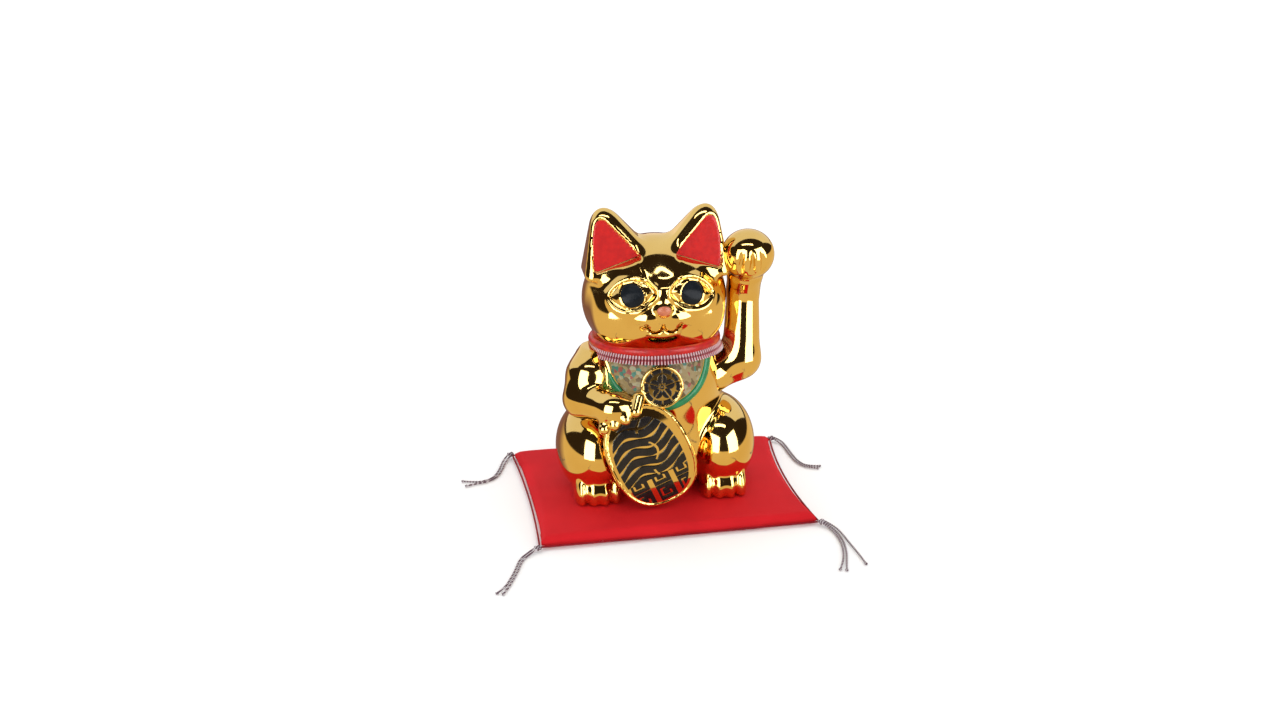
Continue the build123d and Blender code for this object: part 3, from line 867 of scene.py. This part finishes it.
def band_profile(angle):
    """A soft round band whose thickness wavers."""
    swell_here = 1 + 0.05 * math.sin(9 * angle)
    return 0.8 + 2.8 * swell_here * np.cos(section_turn), 3.6 + 3.4 * swell_here * np.sin(section_turn)


PLEAT_COUNT = 132
frill_t = np.linspace(0, 1, 7)


def frill_profile(angle):
    """A pleated sheet that hangs and flares from below the band, with its own thickness."""
    wave = math.sin(PLEAT_COUNT * angle)
    outside = 2.6 + 2.6 * frill_t + wave * (0.4 + 0.6 * frill_t)
    height = 1.4 - 6.6 * frill_t
    return (np.concatenate([outside, outside[::-1] - 1.2]), np.concatenate([height, height[::-1]]))


band = ring("collar_cloth", collar_sections(144, band_profile))
frill_count = PLEAT_COUNT * 8
frill = ring("collar_pleating", collar_sections(frill_count, frill_profile))
# the frill's painted light: 0, painted shade, deep in each fold and 1, painted highlight, on each ridge, in
# step with the pleats' own waves; the row at the middle of its depth is darkened to 0.15 of that
pleat_shading_and_line = frill.data.attributes.new("pleat", "FLOAT", "POINT")
row_of = np.tile(np.concatenate([frill_t, frill_t[::-1]]), frill_count)
frill_turn = PLEAT_COUNT * np.arange(frill_count) * 2 * math.pi / frill_count
fold_shade_and_highlight = np.repeat(0.5 + 0.5 * np.sin(frill_turn), 2 * len(frill_t))
pleat_shading_and_line.data.foreach_set("value", fold_shade_and_highlight * np.where(np.abs(row_of - 0.5) < 0.12, 0.15, 1.0))
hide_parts("collar_band")
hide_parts("collar_frill")
dress(band, BAND)
dress(frill, PLEATS)

# ---- coin and medallion -------------------------------------------------------------------------
COIN_W, COIN_L, COIN_T = 65.0, 87.0, 5.0
COIN_POWER = 2.4
CAMBER_R = 130.0


def coin_outline(a, b, inset=0.0):
    """About the distance from the coin's outline, a superellipse."""
    wide, tall = COIN_W / 2 - inset, COIN_L / 2 - inset
    q = (np.abs(a / wide) ** COIN_POWER + np.abs(b / tall) ** COIN_POWER) ** (1 / COIN_POWER)
    return (q - 1) * wide


def camber(b):
    """How far the domed coin falls back towards its two ends."""
    return b ** 2 / (2 * CAMBER_R)


def coin(p):
    """The coin, domed along its length, with a raised rim."""
    a, b, c = p
    c = c + camber(b)
    disc = round_max(coin_outline(a, b), np.abs(c - COIN_T / 2) - COIN_T / 2, 1.2)
    rim = round_max(np.abs(coin_outline(a, b, 1.6)) - 0.8, np.abs(c - COIN_T) - 0.9, 0.6)
    return smooth_min(disc, rim, 0.8)


def coin_strokes(a, b):
    """A generic ornament: flowing strokes above, a fret of angular blocks below, parted by thin lines."""
    flow = b + 3.4 * np.sin(a * 0.16 + 0.5) - 0.12 * a
    row = np.mod(flow + 4.0, 8.0) - 4.0
    strokes = np.abs(row) - (3.2 + 0.4 * np.sin(a * 0.35 + flow * 0.4))
    slit = 0.9 - np.abs(a - 3 - 4.5 * np.sin(flow * 0.19))
    strokes = np.maximum(strokes, np.where(np.mod(flow, 24.0) < 16.0, slit, -9.0))
    u, v = np.mod(a + 9.0, 18.0) - 9.0, np.mod(b + 24.0, 15.0) - 7.5
    block = np.maximum(np.abs(u), np.abs(v)) - 7.0
    hole = 0.8 - np.abs(np.maximum(np.abs(u + 0.6), np.abs(v)) - 3.4)
    fret = np.maximum(block, np.where(u + v < 3.4, hole, -9.0))
    return np.maximum(np.where(b < -15.5, fret, strokes), coin_outline(a + 1.5, b + 2.5, 6.5))


def coin_ornament(p):
    return round_max(coin_strokes(p[0], p[1]), np.abs(p[2] + camber(p[1]) - COIN_T) - 1.0, 0.35)


coin_centre, coin_side, coin_up, coin_normal = coin_frame()
ON_COIN = (coin_centre, np.array([coin_side, coin_up, coin_normal]))
koban = shape("koban", coin, (-35, -45, -9), (35, 45, 8.5), 0.8, ON_COIN)
ornament = shape("koban_ornament", coin_ornament, (-32, -42, -3.5), (32, 42, 7.4),
                 0.5, ON_COIN)
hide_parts("koban_coin")
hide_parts("koban_relief")
dress(koban, GOLD)
dress(ornament, BLACK)

MEDAL_R = 16.5
medal_normal = np.array([0, -1, 0.2]) / math.hypot(1, 0.2)
ON_MEDAL = (np.array([-2.0, -49.5, 99.8]),
            np.array([(1, 0, 0), np.cross(medal_normal, (1, 0, 0)), medal_normal]))


def medallion(p):
    """The round pendant with its raised rim."""
    a, b, c = p
    away = np.hypot(a, b)
    disc = round_max(away - MEDAL_R, np.abs(c - 0.5) - 2.5, 0.8)
    rim = round_max(np.abs(away - MEDAL_R + 1.2) - 1.0, np.abs(c - 3.2) - 1.0, 0.7)
    return smooth_min(disc, rim, 0.5)


def blossom(p):
    """A plum blossom: black petals with thin gold lines between them, in a broken black ring."""
    a, b, c = p
    away, turn = np.hypot(a, b), np.arctan2(b, a)
    fifth = np.mod(turn - math.pi / 2 + math.pi / 5, 2 * math.pi / 5) - math.pi / 5
    petal = np.hypot(away * np.cos(fifth) - 6.2, away * np.sin(fifth)) - 3.7
    petal = np.maximum(petal, 0.35 - np.abs(away * np.sin(fifth)))
    heart = np.abs(away - 1.3) - 0.5
    tenth = np.mod(turn, math.pi / 5) - math.pi / 10
    broken_ring = np.maximum(np.abs(away - 12.2) - 1.5, 0.5 - np.abs(away * np.sin(tenth)))
    flat = np.minimum(np.minimum(petal, heart), broken_ring)
    return round_max(flat, np.abs(c - 3.0) - 0.9, 0.3)


disc = shape("medal", medallion, (-18, -18, -3), (18, 18, 5.5), 0.6, ON_MEDAL)
petals = shape("medal_blossom", blossom, (-16, -16, 1.6), (16, 16, 4.8), 0.35, ON_MEDAL)
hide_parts("medallion_disc")
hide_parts("medallion_relief")
dress(disc, GOLD)
dress(petals, BLACK)

# ---- the stage: floor, camera, lights ---------------------------------------------------------
FLOOR_SIZE = 1.2


def pale_floor():
    """A near-white table that doesn't show in the gold."""
    mat, _, _ = material("floor", (0.98, 0.98, 0.98), 0.9)
    bpy.ops.mesh.primitive_plane_add(size=FLOOR_SIZE, location=(0, 0, -0.0005))
    floor = bpy.context.object
    floor.name = "floor"
    floor.visible_glossy = False
    floor.data.materials.append(mat)


pale_floor()

AZIMUTH, ELEVATION = math.radians(-10.1), math.radians(21.5)
DISTANCE = 1.616
TARGET = Vector((-0.0183, -0.006, 0.1168))
back = Vector((math.sin(AZIMUTH) * math.cos(ELEVATION), -math.cos(AZIMUTH) * math.cos(ELEVATION),
               math.sin(ELEVATION)))
lens = bpy.data.cameras.new("camera")
lens.sensor_width = 36
lens.lens = 58.6
camera = bpy.data.objects.new("camera", lens)
camera.location = TARGET + back * DISTANCE
camera.rotation_euler = back.to_track_quat("Z", "Y").to_euler()
bpy.context.scene.collection.objects.link(camera)
bpy.context.scene.camera = camera


def softbox(name, azimuth, elevation, distance, width, height, watts, color=(1, 1, 1)):
    """A rectangular light that faces the figure, placed by its direction from it."""
    light = bpy.data.lights.new(name, "AREA")
    light.shape = "RECTANGLE"
    light.size, light.size_y = width, height
    light.energy = watts
    light.color = color
    lamp = bpy.data.objects.new(name, light)
    a, e = math.radians(azimuth), math.radians(elevation)
    away = Vector((math.sin(a) * math.cos(e), -math.cos(a) * math.cos(e), math.sin(e)))
    lamp.location = Vector((0, 0, 0.12)) + away * distance
    lamp.rotation_euler = away.to_track_quat("Z", "Y").to_euler()
    lamp.visible_camera = False
    lamp.visible_diffuse = False
    bpy.context.scene.collection.objects.link(lamp)


softbox("softbox_left", -40, 15, 1.3, 0.95, 1.1, 15)
softbox("softbox_right", 42, 15, 1.3, 1.0, 1.1, 15)
softbox("strip", -12, 66.6, 1.5, 1.1, 0.16, 2.5)
softbox("overhead", 180, 46, 1.5, 5.2, 2.6, 36)


def studio_world():
    """White where the camera looks; in reflections a pale table below and a dark studio above."""
    world = bpy.data.worlds.new("studio")
    bpy.context.scene.world = world
    world.use_nodes = True
    tree = world.node_tree
    tree.nodes.clear()
    where = node(tree, "ShaderNodeTexCoord")
    split = node(tree, "ShaderNodeSeparateXYZ")
    tree.links.new(where.outputs["Generated"], split.inputs[0])
    # what lies behind the figure is brown, the rest of the room nearly black
    wall = node(tree, "ShaderNodeVectorMath", operation="DOT_PRODUCT")
    wall.inputs[1].default_value = (-0.10, 0.94, -0.33)
    tree.links.new(where.outputs["Generated"], wall.inputs[0])
    room = node(tree, "ShaderNodeMix", data_type="RGBA")
    room.inputs["A"].default_value = (0.030, 0.021, 0.016, 1)
    room.inputs["B"].default_value = (0.82, 0.64, 0.36, 1)
    tree.links.new(remap(tree, split.outputs["Z"], 0.01, -0.03, 0, 1), room.inputs["Factor"])
    surroundings = node(tree, "ShaderNodeMix", data_type="RGBA")
    surroundings.inputs["B"].default_value = (0.24, 0.13, 0.12, 1)
    tree.links.new(room.outputs["Result"], surroundings.inputs["A"])
    tree.links.new(remap(tree, wall.outputs["Value"], 0.72, 0.92, 0, 1), surroundings.inputs["Factor"])
    reflected = node(tree, "ShaderNodeBackground")
    tree.links.new(surroundings.outputs["Result"], reflected.inputs[0])
    white = node(tree, "ShaderNodeBackground", Color=(1, 1, 1, 1), Strength=1.15)
    path = node(tree, "ShaderNodeLightPath")
    plain = node(tree, "ShaderNodeMath", operation="MAXIMUM")
    tree.links.new(path.outputs["Is Camera Ray"], plain.inputs[0])
    tree.links.new(path.outputs["Is Diffuse Ray"], plain.inputs[1])
    mix = node(tree, "ShaderNodeMixShader")
    tree.links.new(plain.outputs[0], mix.inputs[0])
    tree.links.new(reflected.outputs[0], mix.inputs[1])
    tree.links.new(white.outputs[0], mix.inputs[2])
    out = node(tree, "ShaderNodeOutputWorld")
    tree.links.new(mix.outputs[0], out.inputs[0])


studio_world()
bpy.context.scene.view_settings.view_transform = "Standard"
